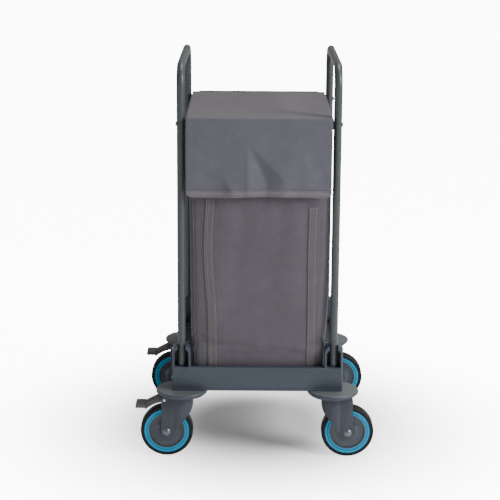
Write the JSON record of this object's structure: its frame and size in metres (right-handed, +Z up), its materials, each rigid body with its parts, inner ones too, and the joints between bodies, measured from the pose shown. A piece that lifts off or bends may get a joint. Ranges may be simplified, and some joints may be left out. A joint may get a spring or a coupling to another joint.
{
  "type": "housekeeping cart",
  "caption": "Tall narrow service trolley: moulded base on swivel castors with bumper discs, two side hoops and a fabric bag with a stiff lid and hanging front flap.",
  "frame": {"origin": "on the floor, under the middle of the base", "axes": "+Z up, -Y towards the side with the hanging flap, +X to the right seen from that side"},
  "size_m": [0.5675, 0.534, 0.94],
  "materials": {
    "base_plastic": "moulded plastic, blue-grey, satin",
    "tube_coat": "powder coat, grey, satin",
    "bare_steel": "zinc plated",
    "bag_fabric": "woven polyester, grey",
    "lid_fabric": "woven polyester, grey",
    "board_plastic": "sheet plastic",
    "deck_plastic": "sheet plastic",
    "castor_plastic": "moulded nylon, grey",
    "bumper_plastic": "soft moulded plastic, grey",
    "hub_plastic": "moulded plastic, grey, glossy",
    "ring_rubber": "coloured rubber, blue",
    "tyre_rubber": "rubber, near black",
    "pedal_plastic": "moulded plastic, dark grey"
  },
  "bodies": {
    "frame": {"front_beam": "base_plastic", "rear_beam": "base_plastic", "left_rail": "base_plastic", "right_rail": "base_plastic", "deck_panel": "deck_plastic", "deck_screws": "bare_steel", "frame_bolts": "bare_steel", "left_hoop": "tube_coat", "right_hoop": "tube_coat", "left_bag_rail": "tube_coat", "right_bag_rail": "tube_coat", "rail_screws": "bare_steel", "bag_body": "bag_fabric", "bag_base_board": "board_plastic", "castor_nuts": "bare_steel", "post_stub_fl": "tube_coat", "bumper_fl": "bumper_plastic", "kingpin_fl": "bare_steel", "post_stub_fr": "tube_coat", "bumper_fr": "bumper_plastic", "kingpin_fr": "bare_steel", "post_stub_rl": "tube_coat", "bumper_rl": "bumper_plastic", "kingpin_rl": "bare_steel", "post_stub_rr": "tube_coat", "bumper_rr": "bumper_plastic", "kingpin_rr": "bare_steel"},
    "lid": {"lid_cover": "lid_fabric", "lid_board": "board_plastic"},
    "flap": {"front_flap": "lid_fabric"},
    "castor_fl": {"fork_fl": "castor_plastic", "axle_fl": "bare_steel", "pedal_pin_fl": "bare_steel"},
    "wheel_fl": {"hub_fl": "hub_plastic", "wheel_bush_fl": "castor_plastic", "cushion_ring_fl": "ring_rubber", "tyre_fl": "tyre_rubber"},
    "pedal_fl": {"brake_pedal_fl": "pedal_plastic"},
    "castor_fr": {"fork_fr": "castor_plastic", "axle_fr": "bare_steel"},
    "wheel_fr": {"hub_fr": "hub_plastic", "wheel_bush_fr": "castor_plastic", "cushion_ring_fr": "ring_rubber", "tyre_fr": "tyre_rubber"},
    "castor_rl": {"fork_rl": "castor_plastic", "axle_rl": "bare_steel", "pedal_pin_rl": "bare_steel"},
    "wheel_rl": {"hub_rl": "hub_plastic", "wheel_bush_rl": "castor_plastic", "cushion_ring_rl": "ring_rubber", "tyre_rl": "tyre_rubber"},
    "pedal_rl": {"brake_pedal_rl": "pedal_plastic"},
    "castor_rr": {"fork_rr": "castor_plastic", "axle_rr": "bare_steel"},
    "wheel_rr": {"hub_rr": "hub_plastic", "wheel_bush_rr": "castor_plastic", "cushion_ring_rr": "ring_rubber", "tyre_rr": "tyre_rubber"}
  },
  "joints": [
    {"name": "lid_hinge", "type": "hinge", "parent": "frame", "child": "lid", "pos_m": [0, 0.2175, 0.812], "axis": [-1, 0, 0], "range_deg": [0, 250]},
    {"name": "flap_hinge", "type": "hinge", "parent": "lid", "child": "flap", "pos_m": [0, -0.2252, 0.819], "axis": [-1, 0, 0], "range_deg": [0, 262]},
    {"name": "swivel_fl", "type": "hinge", "parent": "frame", "child": "castor_fl", "pos_m": [-0.1795, -0.206, 0.14], "axis": [0, 0, 1], "continuous": true},
    {"name": "roll_fl", "type": "hinge", "parent": "castor_fl", "child": "wheel_fl", "pos_m": [-0.2155, -0.206, 0.0625], "axis": [0, 1, 0], "continuous": true},
    {"name": "brake_fl", "type": "hinge", "parent": "castor_fl", "child": "pedal_fl", "pos_m": [-0.2205, -0.206, 0.142], "axis": [0, -1, 0], "range_deg": [0, 10]},
    {"name": "swivel_fr", "type": "hinge", "parent": "frame", "child": "castor_fr", "pos_m": [0.1795, -0.206, 0.14], "axis": [0, 0, 1], "continuous": true},
    {"name": "roll_fr", "type": "hinge", "parent": "castor_fr", "child": "wheel_fr", "pos_m": [0.2155, -0.206, 0.0625], "axis": [0, 1, 0], "continuous": true},
    {"name": "swivel_rl", "type": "hinge", "parent": "frame", "child": "castor_rl", "pos_m": [-0.1795, 0.206, 0.14], "axis": [0, 0, 1], "continuous": true},
    {"name": "roll_rl", "type": "hinge", "parent": "castor_rl", "child": "wheel_rl", "pos_m": [-0.2155, 0.206, 0.0625], "axis": [0, 1, 0], "continuous": true},
    {"name": "brake_rl", "type": "hinge", "parent": "castor_rl", "child": "pedal_rl", "pos_m": [-0.2205, 0.206, 0.142], "axis": [0, -1, 0], "range_deg": [0, 10]},
    {"name": "swivel_rr", "type": "hinge", "parent": "frame", "child": "castor_rr", "pos_m": [0.1795, 0.206, 0.14], "axis": [0, 0, 1], "continuous": true},
    {"name": "roll_rr", "type": "hinge", "parent": "castor_rr", "child": "wheel_rr", "pos_m": [0.2155, 0.206, 0.0625], "axis": [0, 1, 0], "continuous": true}
  ]
}
